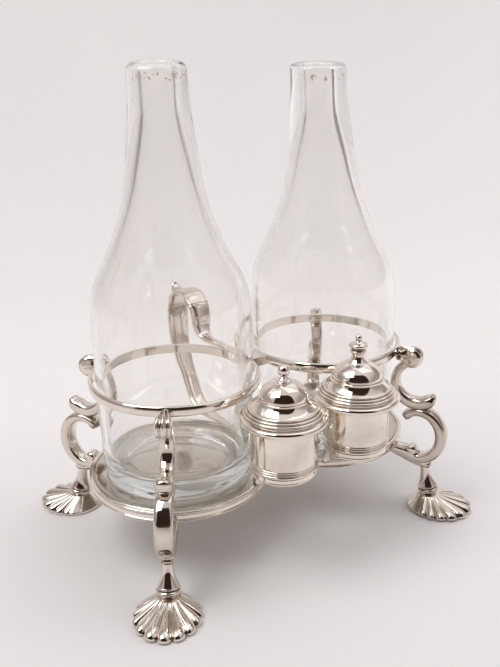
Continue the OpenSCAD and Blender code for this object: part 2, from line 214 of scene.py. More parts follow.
def bar_rows(stations, power, crown, sides=28, ends=(1, 1)):
    """Rings of a bar along stations of [x, z, thickness, width] in the XZ plane.

    The section is a superellipse of the given power, thicker in the middle by the share `crown`.
    Each end is rounded: 1 makes it a half-round, less makes it flatter.
    """
    s = np.asarray(stations, float)
    run = np.gradient(s[:, :2], axis=0)
    run /= np.linalg.norm(run, axis=1)[:, None]
    a = np.linspace(0, 2 * math.pi, sides, endpoint=False)
    c, n = np.cos(a), np.sin(a)
    across = np.sign(c) * np.abs(c) ** (2 / power)
    along = np.sign(n) * np.abs(n) ** (2 / power)

    def ring(at, direction, thick, wide):
        t = across * thick / 2 * (1 + crown * (1 - along ** 2))
        return np.stack([at[0] - direction[1] * t, along * wide / 2, at[1] + direction[0] * t], 1)

    rows = []
    steps = np.radians([80, 60, 40, 20])
    for e in steps:
        reach = s[0, 2] / 2 * ends[0] * math.sin(e)
        rows.append(ring(s[0, :2] - run[0] * reach, run[0], *(s[0, 2:4] * math.cos(e))))
    rows += [ring(p[:2], d, p[2], p[3]) for p, d in zip(s, run)]
    for e in steps[::-1]:
        reach = s[-1, 2] / 2 * ends[1] * math.sin(e)
        rows.append(ring(s[-1, :2] + run[-1] * reach, run[-1], *(s[-1, 2:4] * math.cos(e))))
    return np.array(rows)


def bar(name, line, material, place, power, steps=6, crown=0.12):
    """Bar along a smooth curve through the stations of `line`."""
    points, faces = skin(bar_rows(spline(line, steps), power, crown))
    return make_object(name, points, faces, material, place)


def hand_in(obj, body, nodes):
    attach(obj, body)
    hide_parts(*nodes)


# ---- Places ----

def at(x, y, z=0.0, turn=0.0):
    return Matrix.Translation((x, y, z)) @ Matrix.Rotation(turn, 4, "Z")


def at_bottle(i, z=0.0):
    return at(BOTTLE_X * SIGN[i], ROW_Y, z)


def at_cap(i, z=0.0):
    return at(CAP_X * SIGN[i], CAP_Y, z)


def at_corner(i):
    """Local X runs from the bottle's axis out along the leg."""
    across = 1 if i % 2 else -1
    along = 1 if i > 1 else -1
    turn = math.atan2(along * math.sin(LEG_ANGLE), across * math.cos(LEG_ANGLE))
    return at_bottle(i % 2) @ Matrix.Rotation(turn, 4, "Z")


AT_HANDLE = at(0, ROW_Y, 0, math.pi / 2)


# ---- Materials ----

class Nodes:
    """Short calls for building a tree of shader nodes."""

    def __init__(self, tree):
        self.tree = tree
        self.tree.nodes.clear()

    def new(self, kind, settings=(), **inputs):
        node = self.tree.nodes.new(kind)
        for key, value in dict(settings).items():
            setattr(node, key, value)
        for key, value in inputs.items():
            self.put(node, key.replace("_", " "), value)
        return node

    def put(self, node, key, value):
        """Links another node's output to an input, or sets the input's own value."""
        if isinstance(value, bpy.types.NodeSocket):
            self.tree.links.new(value, node.inputs[key])
        else:
            node.inputs[key].default_value = value

    def math(self, operation, a, b=0.0, clamp=False):
        node = self.new("ShaderNodeMath", {"operation": operation, "use_clamp": clamp})
        self.put(node, 0, a)
        self.put(node, 1, b)
        return node.outputs[0]

    def times(self, a, b):
        return self.math("MULTIPLY", a, b)

    def larger(self, a, b):
        return self.math("MAXIMUM", a, b)

    def noise(self, where, scale, detail=3.0, rough=0.5):
        node = self.new("ShaderNodeTexNoise", Vector=where, Scale=scale, Detail=detail, Roughness=rough)
        return node.outputs["Fac"]

    def ramp(self, value, stops):
        node = self.new("ShaderNodeValToRGB", Fac=value)
        elements = node.color_ramp.elements
        while len(elements) < len(stops):
            elements.new(0.5)
        for element, (place, colour) in zip(elements, stops):
            element.position = place
            element.color = (*colour, 1)
        return node.outputs["Color"]

    def range(self, value, low, high, to_low, to_high):
        """Smooth step: to_low where the value is at most `low`, to_high from `high` on."""
        node = self.new("ShaderNodeMapRange", {"interpolation_type": "SMOOTHSTEP"}, Value=value,
                        From_Min=low, From_Max=high, To_Min=to_low, To_Max=to_high)
        return node.outputs["Result"]

    def bump(self, height, strength, distance):
        node = self.new("ShaderNodeBump", Height=height, Strength=strength, Distance=distance)
        return node.outputs["Normal"]

    def mix_colours(self, share, a, b):
        node = self.new("ShaderNodeMix", {"data_type": "RGBA"}, Factor=share, A=a, B=b)
        return node.outputs["Result"]

    def mix_shaders(self, share, a, b):
        node = self.new("ShaderNodeMixShader")
        for key, value in enumerate((share, a.outputs[0], b.outputs[0])):
            self.put(node, key, value)
        return node.outputs[0]


def new_material(name):
    made = bpy.data.materials.new(name)
    made.use_nodes = True
    nodes = Nodes(made.node_tree)
    output = nodes.new("ShaderNodeOutputMaterial")
    where = nodes.new("ShaderNodeTexCoord").outputs["Object"]
    return made, nodes, output, where


def silver(name, bright, tarnish_and_shade_colour, hollow_darkness, ripple):
    """Polished silver: tarnish in patches, tarnish and painted shade in the hollows, wiping marks in the
    gloss, soft ripples.
    """
    made, nodes, output, where = new_material(name)

    # Hollows: sharp creases of the mesh, and places sheltered within about 2 mm. Darkening them is partly
    # tarnish and partly painted shade
    pointed = nodes.new("ShaderNodeNewGeometry").outputs["Pointiness"]
    sharp = nodes.range(pointed, 0.43, 0.498, 1.0, 0.0)
    occlusion = nodes.new("ShaderNodeAmbientOcclusion", {"samples": 6, "only_local": True}, Distance=0.0022)
    hollow_shade = nodes.range(occlusion.outputs["AO"], 0.30, 0.88, 0.9, 0.0)
    hollow_tarnish_and_shade = nodes.larger(sharp, hollow_shade)

    patch = nodes.range(nodes.noise(where, 55, 4, 0.55), 0.42, 0.75, 0.0, 1.0)
    # Base colour darkens with tarnish in random patches, and with tarnish and painted shade in the hollows
    tarnish_and_shade_mask = nodes.math("ADD", nodes.times(patch, 0.35), nodes.times(hollow_tarnish_and_shade, hollow_darkness), clamp=True)
    tint = nodes.mix_colours(tarnish_and_shade_mask, (*bright, 1), (*tarnish_and_shade_colour, 1))

    flattened = nodes.new("ShaderNodeMapping", Vector=where, Scale=(1, 1, 9)).outputs["Vector"]
    wipe = nodes.range(nodes.noise(flattened, 260, 3, 0.6), 0.35, 0.8, 0.0, 0.07)
    smear = nodes.range(nodes.noise(where, 34, 3, 0.6), 0.35, 0.75, 0.04, 0.14)
    gloss = nodes.math("ADD", nodes.math("ADD", wipe, smear), nodes.times(hollow_tarnish_and_shade, 0.12))

    swell = nodes.noise(where, 95, 2, 0.5)
    pits = nodes.noise(where, 900, 2, 0.6)
    height = nodes.math("ADD", nodes.times(swell, ripple), nodes.times(pits, 0.02))
    shader = nodes.new("ShaderNodeBsdfPrincipled", Base_Color=tint, Metallic=1.0, Roughness=gloss,
                       Normal=nodes.bump(height, 0.35, 0.0006))

    # After three reflections a dull surface will do
    dull = nodes.new("ShaderNodeBsdfDiffuse", Color=tint)
    path = nodes.new("ShaderNodeLightPath")
    far = nodes.math("GREATER_THAN", path.outputs["Glossy Depth"], 2.5)
    nodes.put(output, "Surface", nodes.mix_shaders(far, shader, dull))
    return made


def bottle_glass():
    """Clear old glass: a little uneven, and greyer where it is thick. Light passes to the table."""
    made, nodes, output, where = new_material("bottle_glass")
    swell = nodes.noise(where, 42, 2, 0.4)
    seeds = nodes.noise(where, 520, 2, 0.7)
    height = nodes.math("ADD", swell, nodes.range(seeds, 0.68, 0.8, 0.0, 0.12))
    gloss = nodes.range(nodes.noise(where, 60, 3), 0.4, 0.8, 0.0, 0.03)
    shader = nodes.new("ShaderNodeBsdfPrincipled", Base_Color=(0.995, 0.985, 0.975, 1), Roughness=gloss,
                       Transmission_Weight=1.0, IOR=1.48, Normal=nodes.bump(height, 0.10, 0.0012))

    # Shadow rays, and rays with many turns behind them, go straight through
    clear = nodes.new("ShaderNodeBsdfTransparent", Color=(0.93, 0.94, 0.94, 1))
    path = nodes.new("ShaderNodeLightPath")
    mirrored = nodes.math("GREATER_THAN", path.outputs["Glossy Depth"], 2.5)
    lost = nodes.math("GREATER_THAN", path.outputs["Transmission Depth"], 8.5)
    pass_on = nodes.larger(path.outputs["Is Shadow Ray"], nodes.larger(mirrored, lost))
    nodes.put(output, "Surface", nodes.mix_shaders(pass_on, shader, clear))

    thick = nodes.new("ShaderNodeVolumeAbsorption", Color=(0.70, 0.72, 0.74, 1), Density=13.0)
    nodes.put(output, "Volume", thick.outputs[0])
    return made


def worn_gilt():
    made, nodes, output, where = new_material("worn_gilt")
    grain = nodes.noise(where, 1400, 3, 0.7)
    colour = nodes.ramp(grain, [(0.35, (0.74, 0.62, 0.43)), (0.6, (0.90, 0.80, 0.62))])
    gloss = nodes.range(grain, 0.3, 0.7, 0.25, 0.5)
    shader = nodes.new("ShaderNodeBsdfPrincipled", Base_Color=colour, Metallic=0.7, Roughness=gloss,
                       Normal=nodes.bump(grain, 0.4, 0.0002))
    nodes.put(output, "Surface", shader.outputs[0])
    return made


def table_white():
    made, nodes, output, where = new_material("table_white")
    cloud = nodes.noise(where, 3.0, 3, 0.5)
    colour = nodes.ramp(cloud, [(0.3, (0.790, 0.762, 0.760)), (0.7, (0.806, 0.776, 0.774))])
    shader = nodes.new("ShaderNodeBsdfPrincipled", Base_Color=colour, Roughness=0.6)
    nodes.put(output, "Surface", shader.outputs[0])
    return made


# Colour where clean, colour of the tarnish and of the painted shade in hollows, how strongly hollows are
# darkened by tarnish and painted shade, strength of the ripples
SHEET = silver("silver_sheet", (0.86, 0.795, 0.725), (0.60, 0.50, 0.37), 0.8, 0.9)
CAST = silver("silver_cast", (0.80, 0.735, 0.665), (0.27, 0.195, 0.13), 1.0, 1.3)
CAPS = silver("silver_caps", (0.90, 0.825, 0.745), (0.36, 0.28, 0.20), 1.0, 0.4)
FLOOR = silver("silver_floor", (0.66, 0.625, 0.56), (0.46, 0.42, 0.35), 0.8, 0.9)
GLASS = bottle_glass()
GILT = worn_gilt()
TABLE_WHITE = table_white()


# ---- Tray ----

def tray_line():
    """Outline of the tray, anticlockwise, with its outward directions."""
    high = math.sqrt((TRAY_R + WAIST_R) ** 2 - BOTTLE_X ** 2)
    slope = math.atan2(high, BOTTLE_X)
    points, out = [], []
    for side in (0, math.pi):
        sign = 1 if side == 0 else -1
        for a in np.linspace(side - math.pi + slope, side + math.pi - slope, 150, endpoint=False):
            out.append((math.cos(a), math.sin(a)))
            points.append((sign * BOTTLE_X + TRAY_R * out[-1][0], TRAY_R * out[-1][1]))
        for k in range(30):
            a = side - slope - (math.pi - 2 * slope) * k / 30
            out.append((-math.cos(a), -math.sin(a)))
            points.append((WAIST_R * math.cos(a), sign * high + WAIST_R * math.sin(a)))
    return np.array(points), np.array(out)


def tray_rim(line, out):
    """Moulded edge: a thin bead below, a cove, and a round bead on top."""
    depth = TRAY_TOP - TRAY_Z
    profile = soften(np.vstack([
        [[-1.25, 0.1], [-0.1, 0.0]],
        arc((0.0, 0.4), 0.4, -80, 80, 6),
        [[-0.12, 0.95], [-0.3, 1.7], [-0.3, 2.5], [-0.05, 3.1], [-0.28, 3.36]],
        arc((-0.05, depth - 0.55), 0.58, -65, 110, 10),
        [[-0.75, depth - 0.1], [-1.25, depth - 0.22]],
    ]), 0.1, closed=True)
    rows = np.empty((len(profile), len(line), 3))
    rows[:, :, :2] = line[None] + profile[:, None, :1] * out[None]
    rows[:, :, 2] = profile[:, 1:2] + TRAY_Z
    points, faces = skin(rows, closed_rows=True)
    border = make_object("tray_rim", points, faces, SHEET, at(0, ROW_Y))
    hand_in(border, "frame", ["tray_border"])


def tray_floor(line, out):
    """Sheet inside the rim, of shrunken copies of the outline, with soft dents away from the edge."""
    shares = np.linspace(0.02, 1, 40)
    edge = line - out * 1.15
    top = np.empty((len(shares), len(line), 3))
    top[:, :, :2] = edge[None] * shares[:, None, None]
    for row, share in zip(top, shares):
        dent = 0.12 * min(1, (1 - share) * 8)
        for point in row:
            wave = noise.noise(Vector((point[0] * 0.06, point[1] * 0.06, 3.1)))
            point[2] = TRAY_TOP - 0.14 + dent * wave
    under = top[::-1].copy()
    under[:, :, 2] -= 1.1
    points, faces = skin(np.vstack([top, under]))
    plate = make_object("tray_floor", points, faces, FLOOR, at(0, ROW_Y))
    hand_in(plate, "frame", ["tray_plate"])


def tray():
    line, out = tray_line()
    tray_rim(line, out)
    tray_floor(line, out)


# ---- Bottle rings ----

def bottle_ring(i):
    """Ring of half-round wire, a little uneven in height."""
    half, bulge = RING_H / 2, 1.25
    inner = RING_R - 2.0
    round_side = [[RING_R - bulge + bulge * math.cos(a), half * math.sin(a)]
                  for a in np.radians(np.linspace(-90, 90, 17))]
    profile = soften(np.vstack([
        [[inner, -half + 0.35], [inner + 0.35, -half + 0.05]],
        round_side,
        [[inner + 0.35, half - 0.05], [inner, half - 0.35]],
    ]), 0.12, closed=True)

    def uneven(rows, angle):
        wave = 0.10 * np.sin(2 * angle + i) + 0.05 * np.sin(5 * angle + 2 * i)
        rows[:, :, 2] += wave[None]
        return rows

    ring = lathe(f"ring_{SIDES[i]}", profile, SHEET, at_bottle(i, RING_Z), 240, uneven, closed=True)
    hand_in(ring, "frame", [f"bottle_ring_{SIDES[i]}"])


# ---- Handle. Stations are [back from the row, height, thickness, width] ----

def handle():
    reach, top = HANDLE_BACK, HANDLE_TOP
    wide, narrow = HANDLE_W, 0.68 * HANDLE_W
    strap = [
        [reach - 25, top - 4, 2.2, wide - 1], [reach - 18, top - 1.0, 2.2, wide - 0.6],
        [reach - 10.5, top - 1.1, 2.2, wide], [reach - 3.6, top - 5.6, 2.2, wide],
        [reach, top - 13.5, 2.2, wide], [reach + 0.3, top - 23, 2.3, wide - 0.6],
        [reach - 1.4, top - 32, 2.4, wide - 2], [reach - 5.6, top - 40, 2.7, narrow + 1],
        [reach - 10.6, top - 46.5, 2.7, narrow], [reach - 15, top - 52.5, 2.7, narrow],
        [reach - 19.6, top - 57.6, 2.7, narrow], [reach - 26, top - 61.2, 2.7, narrow],
        [reach - 34, top - 62.8, 2.7, narrow], [16, TRAY_Z + 2.3, 3, narrow]]
    outer = bar("handle_outer", strap, SHEET, AT_HANDLE, power=3.4, steps=8, crown=0.35)
    hand_in(outer, "frame", ["handle_strap"])

    scroll = [
        [reach - 22, top - 2.4, 2.6, wide - 1.2], [reach - 25.6, top - 5.6, 3, wide - 1],
        [reach - 27.4, top - 10.5, 3.4, wide - 1.2], [reach - 27.8, top - 15, 3, wide - 2.4],
        [reach - 30.5, top - 18.6, 2.8, 8.4], [reach - 36, top - 19.6, 2.6, 6.4],
        [reach - 46, top - 19, 2.6, 5.4], [reach - 58, RING_Z - 0.2, 2.6, 5.4], [5.0, RING_Z, 3, 6.4]]
    inner = bar("handle_inner", scroll, SHEET, AT_HANDLE, power=2.8, steps=8, crown=0.2)
    hand_in(inner, "frame", ["handle_scroll"])

    leaf = [
        [reach - 10.5, top - 1.9, 1.8, 3.6], [reach - 8.0, top - 2.2, 2.2, 8.2],
        [reach - 4.6, top - 3.0, 2.3, 9.8], [reach - 0.6, top - 2.9, 2, 8.0],
        [reach + 2.2, top - 0.8, 1.5, 5.0], [reach + 2.8, top + 1.0, 1, 2.2]]
    thumb = bar("thumb_leaf", leaf, CAST, AT_HANDLE, power=2.3, crown=0.3)
    hand_in(thumb, "frame", ["thumb_piece"])


# ---- Legs. Stations are [out from the bottle's axis, height, thickness, width] ----

def leaf_side(top, roll, roll_r):
    """Side outline of the leaf, closed: [out from the bottle's axis, height, half width]."""
    crest = spline([[36.7, top - 0.5, 0.35], [38.6, top - 0.25, 1.1], [41.2, top - 0.05, 2.1],
                    [44.0, top, 2.8]], 8)
    half_width = np.interp(np.linspace(0, 1, 35), [0, 0.35, 1], [2.9, 3.6, 3.5])
    over = np.column_stack([arc(roll, roll_r, 86, -112, 34), half_width])
    under = spline([[41.0, top - 7.3, 3.4], [39.4, top - 6.1, 3.2], [37.2, top - 5.9, 3.0],
                    [36.6, top - 4.6, 2.6], [36.5, top - 2.4, 1.6]], 6)
    return np.vstack([crest, over, under])


def leaf_relief(v):
    """Height of a middle ridge and two lobes, with grooves between, at share v of the half width."""
    ridge = 0.62 * math.exp(-(v / 0.17) ** 2)
    lobes = 0.42 * math.exp(-((abs(v) - 0.72) / 0.17) ** 2)
    grooves = 0.40 * math.exp(-((abs(v) - 0.40) / 0.13) ** 2)
    return ridge + lobes - grooves


def leaf_knuckle(i):
    """Solid roll over the ring. From above it is a leaf that starts as a point."""
    top = RING_Z + RING_H / 2 + 0.1
    roll, roll_r = (44.4, top - 4.3), 4.3
    side = leaf_side(top, roll, roll_r)
    run = np.roll(side[:, :2], -1, 0) - np.roll(side[:, :2], 1, 0)
    outward = np.stack([-run[:, 1], run[:, 0]], 1)
    outward /= np.linalg.norm(outward, axis=1)[:, None]
    centre = side[:, :2].mean(0)

    # The relief starts at the leaf's point and ends under the roll
    share = np.arange(len(side)) / len(side)
    fade = np.clip(share * 9, 0, 1) * np.clip((0.74 - share) * 12, 0, 1)
    rows = []
    for t in np.linspace(-1, 1, 57):
        v = math.sin(t * math.pi / 2) * (1 - 0.04 * t * t)
        edge = 1 - (1 - min(abs(v), 1.0) ** 5) ** 0.5
        flat = side[:, :2] + outward * (leaf_relief(v) * fade)[:, None]
        flat = flat + (centre - flat) * (0.30 * edge)
        rows.append(np.stack([flat[:, 0], side[:, 2] * v, flat[:, 1]], 1))

    # Each flank closes toward a line along its middle
    reach = [37.4, 41.0, 44.4]
    for end, flank in ((rows[0], -1), (rows[-1], 1)):
        spine = end.copy()
        spine[:, 0] = np.clip(end[:, 0], 37.4, 45.4)
        spine[:, 2] = np.interp(spine[:, 0], reach, [top - 3.2, top - 3.7, roll[1]])
        spine[:, 1] = np.interp(spine[:, 0], reach, [1.9, 2.7, 3.55]) * flank
        for keep in (0.94, 0.82, 0.66, 0.48, 0.3, 0.12):
            rows.insert(0 if flank < 0 else len(rows), spine + (end - spine) * keep)
    points, faces = skin(np.array(rows))
    leaf = make_object(f"leaf_{CORNERS[i]}", points, faces, CAST, at_corner(i))
    hand_in(leaf, "frame", [f"leaf_cap_{CORNERS[i]}"])


def scroll_bar(name, stations, ends, place):
    points, faces = skin(bar_rows(spline(np.vstack(stations), 4), 3.4, 0.1, 32, ends))
    return make_object(name, points, faces, CAST, place)


def upper_c(i):
    """C that opens outward, thicker toward its lower tip."""
    t = np.linspace(0, 1, 14)
    a = np.radians(96 + 206 * t)
    thick = 3.6 + 2.7 * t ** 1.8 - 0.9 * t ** 14
    wide = 6.0 + 1.3 * t ** 3
    body = np.stack([SCROLL_X + SCROLL_R * np.cos(a), SCROLL_Z + SCROLL_R * np.sin(a), thick, wide], 1)
    tip = [[54.3, SCROLL_Z - 7.7, 4.6, 6.8], [55.0, SCROLL_Z - 6.6, 2.9, 5.6]]
    scroll = scroll_bar(f"upper_c_{CORNERS[i]}", [body, tip], (0.5, 1), at_corner(i))
    hand_in(scroll, "frame", [f"upper_scroll_{CORNERS[i]}"])


def lower_c(i):
    """C that opens inward, from a small head below the upper one down to the arm."""
    t = np.linspace(0, 1, 14)
    a = np.radians(112 - 212 * t)
    thick = 3.5 + 1.6 * np.sin(np.radians(155 * t))
    wide = 6.6 + 1.3 * np.sin(math.pi * t)
    body = np.stack([LOWER_X + 10.2 * np.cos(a), LOWER_Z + 12.0 * np.sin(a), thick, wide], 1)
    head = [[43.5, LOWER_Z + 9.2, 4.3, 6.4], [44.4, LOWER_Z + 10.0, 4.2, 6.6]]
    tail = [[46.6, 25.4, 3.6, 6.6]]
    scroll = scroll_bar(f"lower_c_{CORNERS[i]}", [head, body, tail], (0.9, 0.8), at_corner(i))
    hand_in(scroll, "frame", [f"lower_scroll_{CORNERS[i]}"])


def scroll_knob(i):
    """Round knob where the lower scroll's inner end rests on the arm."""
    half, r = 3.2, 3.0
    across = np.sin(np.linspace(-math.pi / 2, math.pi / 2, 31))
    profile = np.stack([np.maximum(r * (1 - across ** 4) ** 0.4, 0.02), half * across], 1)
    place = at_corner(i) @ Matrix.Translation((46.8, 0, 28.1)) @ Matrix.Rotation(math.pi / 2, 4, "X")
    knob = lathe(f"knob_{CORNERS[i]}", profile, CAST, place, 48)
    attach(knob, "frame")


def arm(i):
    """Thick arm with a hump, from the head of the pillar to the tray."""
    line = [
        [54.9, 21.8, 3.0, 5.0], [53.4, 22.4, 3.8, 5.6], [50.6, 23.5, 5.4, 6.2], [47.4, 25.2, 6.8, 6.6],
        [44, 26.5, 6.5, 6.8], [40.8, 27.3, 5.7, 6.8], [38.2, 28.1, 4.8, 6.8], [35.4, 29.2, 3.2, 6.4]]
    limb = bar(f"arm_{CORNERS[i]}", line, CAST, at_corner(i), power=2.9, crown=0.15)
    hand_in(limb, "frame", [f"tray_bracket_{CORNERS[i]}"])


def foot_pillar(i):
    """Turned pillar from the scroll down to the shell: a cap, a flaring neck and two rings."""
    run = np.array([FOOT_REACH, COLLAR_Z]) - PILLAR_TOP
    length = float(np.linalg.norm(run))
    lean = math.atan2(run[0], -run[1])
    neck = [[2.15 + 2.25 * (k / 12) ** 2.6 + 0.1 * k / 12, 1.2 + (length - 5.4) * k / 12] for k in range(13)]
    profile = soften(np.vstack([
        [[0, -1.6], [2.4, -1.5], [3.0, -0.9], [3.05, 0.1], [2.3, 0.7]],
        neck,
        arc((4.05, length - 3.75), 0.62, -70, 75, 6),
        [[3.95, length - 2.95]],
        arc((4.15, length - 1.85), 1.0, -65, 70, 8),
        [[4.3, length - 0.8], [3.9, length + 0.2], [0, length + 0.2]],
    ]), 0.1)
    place = at_corner(i) @ Matrix.Translation((PILLAR_TOP[0], 0, PILLAR_TOP[1]))
    place = place @ Matrix.Rotation(-lean, 4, "Y") @ Matrix.Diagonal((1, 1, -1, 1))
    body = lathe(f"foot_pillar_{CORNERS[i]}", profile[1:-1], CAST, place, 72)
    body.data.flip_normals()
    hand_in(body, "frame", [f"pillar_{CORNERS[i]}"])


def shell(i):
    """Scallop shell with rounded ribs, sharp grooves and a scalloped edge; the heel is smooth."""
    ribs, pitch, samples, heel = 11, math.radians(18), 12, 28
    half_l, half_w, set_out, collar_r = 15.2, 13.9, 5.8, 4.6
    fan = ribs * pitch
    angles = np.concatenate([-fan / 2 + pitch / samples * np.arange(ribs * samples),
                             fan / 2 + (2 * math.pi - fan) / heel * np.arange(heel)])
    cos, sin = np.cos(angles), np.sin(angles)

    # 0 on a rib's crest, 1 in a groove; shallower at the two outer ribs, none on the heel
    phase = np.where(angles < fan / 2, np.abs(((angles + fan / 2) / pitch) % 1 - 0.5) * 2, 0.0)
    edge_fade = np.clip((fan / 2 - np.abs(angles)) / pitch * 2, 0.25, 1)
    round_rib = 1 - np.sqrt(np.clip(1 - phase ** 2, 0, 1))
    groove = np.where(angles < fan / 2, round_rib * edge_fade, 0.0)

    # Distance from the pillar's axis to an ellipse whose middle is set out by set_out
    p = (cos / half_l) ** 2 + (sin / half_w) ** 2
    q = set_out * cos / half_l ** 2
    edge = (q + np.sqrt(q * q - p * ((set_out / half_l) ** 2 - 1))) / p
    out_share = np.clip((cos + 0.35) / 1.35, 0, 1)

    # Share of the way to the edge, height, groove depth, scallop depth
    rings = [(0, 7.0, 0.0, 0), (0.06, 6.5, 0.3, 0), (0.18, 5.85, 0.75, 0), (0.34, 5.2, 1.1, 0),
             (0.5, 4.7, 1.4, 0.01), (0.66, 4.25, 1.6, 0.03), (0.8, 3.8, 1.75, 0.06), (0.9, 3.3, 1.8, 0.085),
             (0.96, 2.7, 1.7, 0.105), (0.993, 1.95, 1.2, 0.115), (1.0, 1.3, 0.6, 0.115),
             (0.985, 0.65, 0.2, 0.11), (0.96, 0.2, 0.05, 0.105), (0.94, 0.0, 0, 0.10)]
    rows = []
    for share, height, deep, scallop in rings:
        r = collar_r + (edge * (1 - scallop * groove) - collar_r) * share
        heel_height = min(height, 6.8 - 5.4 * share)
        high = height * out_share + heel_height * (1 - out_share)
        low = high - deep * groove * (0.45 + 0.55 * out_share)
        rows.append(np.stack([r * cos, r * sin, np.maximum(low, 0)], 1))
    points, faces = skin(np.array(rows)[::-1])
    place = at_corner(i) @ Matrix.Translation((FOOT_REACH, 0, 0))
    foot = make_object(f"shell_{CORNERS[i]}", points, faces, CAST, place)
    hand_in(foot, "frame", [f"shell_foot_{CORNERS[i]}"])


def rosette(i):
    """Small boss on the outside of the lower scroll, above the pillar."""
    profile = soften([[0, 1.0], [0.55, 0.95], [0.85, 0.5], [1.05, 0.45], [1.3, 0.75], [1.6, 0.6],
                      [1.75, 0.0], [1.6, -0.8]], 0.08)
    angle = math.radians(-52)
    spot = (LOWER_X + 12.35 * math.cos(angle), 0, LOWER_Z + 14.1 * math.sin(angle))
    place = at_corner(i) @ Matrix.Translation(spot) @ Matrix.Rotation(math.pi / 2 - angle, 4, "Y")
    boss = lathe(f"rosette_{CORNERS[i]}", profile[::-1], CAST, place, 40)
    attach(boss, "frame")


# ---- Cap holders ----

def cap_holder(i):
    """Cup without a floor, with a band of mouldings round its foot."""
    h, outer, bore = HOLDER_BASE, HOLDER_R, HOLDER_BORE
    profile = soften(np.vstack([
        [[bore, h + 0.1], [outer - 0.6, h]],
        arc((outer - 0.75, h + 0.75), 0.62, -70, 40, 5),
        [[outer - 0.3, h + 1.3], [outer - 0.35, h + 2.6], [outer - 0.5, h + 2.9]],
        arc((outer - 0.32, h + 3.75), 0.66, -75, 75, 8),
        [[outer - 0.25, h + 4.45]],
        arc((outer - 0.3, h + 4.9), 0.48, -60, 60, 6),
        [[outer - 0.15, h + 5.38]],
        arc((outer - 0.3, h + 5.85), 0.48, -60, 60, 6),
        [[outer - 0.12, h + 6.5], [outer, h + 7.0], [outer, HOLDER_TOP - 0.15]],
        [[outer - 0.2, HOLDER_TOP], [bore, HOLDER_TOP]],
    ]), 0.1, closed=True)
    cup = lathe(f"cup_{SIDES[i]}", profile, CAPS, at_cap(i), 200, closed=True)
    hand_in(cup, "frame", [f"cap_holder_{SIDES[i]}"])


def holder_arm(i):
    """Bracket from the tray's edge out and up to the cup's side."""
    foot_y = 32.8
    reach = -(CAP_Y - ROW_Y) - HOLDER_R - foot_y - 1.1
    line = [
        [-0.1, TRAY_TOP - 0.8, 2.4, 5.0], [0.1, TRAY_TOP + 2.5, 2.6, 4.4],
        [reach * 0.45, TRAY_TOP + 8, 2.6, 4], [reach * 0.92, HOLDER_TOP - 23, 2.6, 4],
        [reach, HOLDER_TOP - 17, 2.6, 4], [reach, HOLDER_TOP - 10, 2.2, 4.4],
        [reach - 0.6, HOLDER_TOP - 7, 1.6, 4.8]]
    place = at(CAP_X * SIGN[i], ROW_Y - foot_y, 0, -math.pi / 2)
    limb = bar(f"holder_arm_{SIDES[i]}", line, CAST, place, power=3.0)
    hand_in(limb, "frame", [f"holder_bracket_{SIDES[i]}"])


# ---- Caps ----

def cap_dome(i):
    """Dome on a flange with stepped rings, hollow below. Heights are from the flange's underside."""
    flange, sleeve = 18.1, SLEEVE_R
    dome_r, step = ((9.9, 0.35), (10.4, 0.6))[i]
    base, high, wall = 10.0, 7.2, 0.9
    hollow_r, hollow_h = dome_r - wall, high - wall

    dome = [[dome_r * math.cos(a), base + 0.3 + high * math.sin(a)]
            for a in np.radians(np.linspace(88, 3, 28))]
    cove = [[dome_r + step + (flange - 4.9 - dome_r - step) * (1 - k / 10) ** 1.6,
             6.7 + (base - 6.7) * k / 10] for k in range(10, -1, -1)]
    funnel = [[hollow_r + (sleeve - dome_r + wall - 0.05) * (k / 6) ** 1.6, base - (base - 6) * k / 6]
              for k in range(6, 0, -1)]
    hollow = [[hollow_r * math.cos(a), base + hollow_h * math.sin(a)]
              for a in np.radians(np.linspace(0, 88, 16))]
    profile = np.vstack([
        [[0.02, base + 0.3 + high]],
        dome,
        soften(np.vstack([[[dome_r, base + 0.32], [dome_r + step, base + 0.12]], cove]), 0.08),
        arc((flange - 4.25, 6.05), 0.5, 95, -50, 8),
        arc((flange - 3.3, 5.1), 0.5, 95, -55, 8),
        arc((flange - 2.45, 4.15), 0.5, 90, -70, 8),
        soften([[flange - 2.3, 3.55], [flange - 2.25, 3.1], [flange - 1.9, 2.88]], 0.08),
        arc((flange - 1.4, 1.42), 1.4, 78, -82, 16),
        [[flange - 1.7, 0.0], [sleeve - 0.05, 0.0]],
        funnel,
        hollow,
        [[0.02, base + high - wall]],
    ])
    top = lathe(f"dome_{SIDES[i]}", profile[::-1], CAPS, at_cap(i, CAP_Z), 200)
    hand_in(top, f"cap_{SIDES[i]}", [f"cap_dome_{SIDES[i]}"])


def cap_sleeve(i):
    out, wall, low, high = SLEEVE_R, 0.5, -14.0, 5.0
    profile = soften([[out - wall, low], [out, low], [out, high], [out - wall, high]], 0.12, closed=True)
    tube = lathe(f"sleeve_{SIDES[i]}", profile, CAPS, at_cap(i, CAP_Z), 144, closed=True)
    hand_in(tube, f"cap_{SIDES[i]}", [f"cap_sleeve_{SIDES[i]}"])


